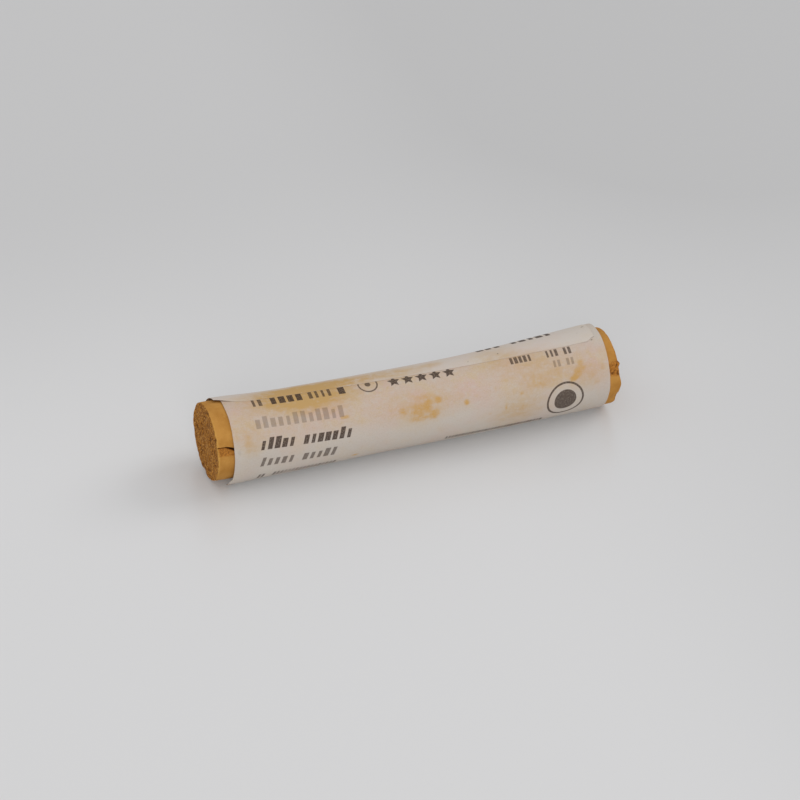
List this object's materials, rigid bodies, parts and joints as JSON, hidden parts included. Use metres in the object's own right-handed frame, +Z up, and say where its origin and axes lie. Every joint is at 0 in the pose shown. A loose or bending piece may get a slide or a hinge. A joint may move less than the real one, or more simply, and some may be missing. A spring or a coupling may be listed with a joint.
{
  "type": "soft pastel stick in a paper label",
  "caption": "Used round soft pastel stick, slightly bowed and broken at one end, in a thin paper label rolled round it, lying on its side.",
  "frame": {"origin": "bottom centre of the bounding box, on the table under the middle of the stick", "axes": "+X along the stick from the broken end to the far end, +Z up, -Y the front"},
  "size_m": [0.06, 0.0124, 0.0118],
  "materials": {
    "ochre_pastel": "dry powdery pressed pigment, rough and granular where broken",
    "label_paper": "thin uncoated paper, slightly see-through, smudged with ochre dust"
  },
  "bodies": {
    "root": {"pastel_stick": "ochre_pastel", "paper_wrapper": "label_paper"}
  },
  "joints": []
}
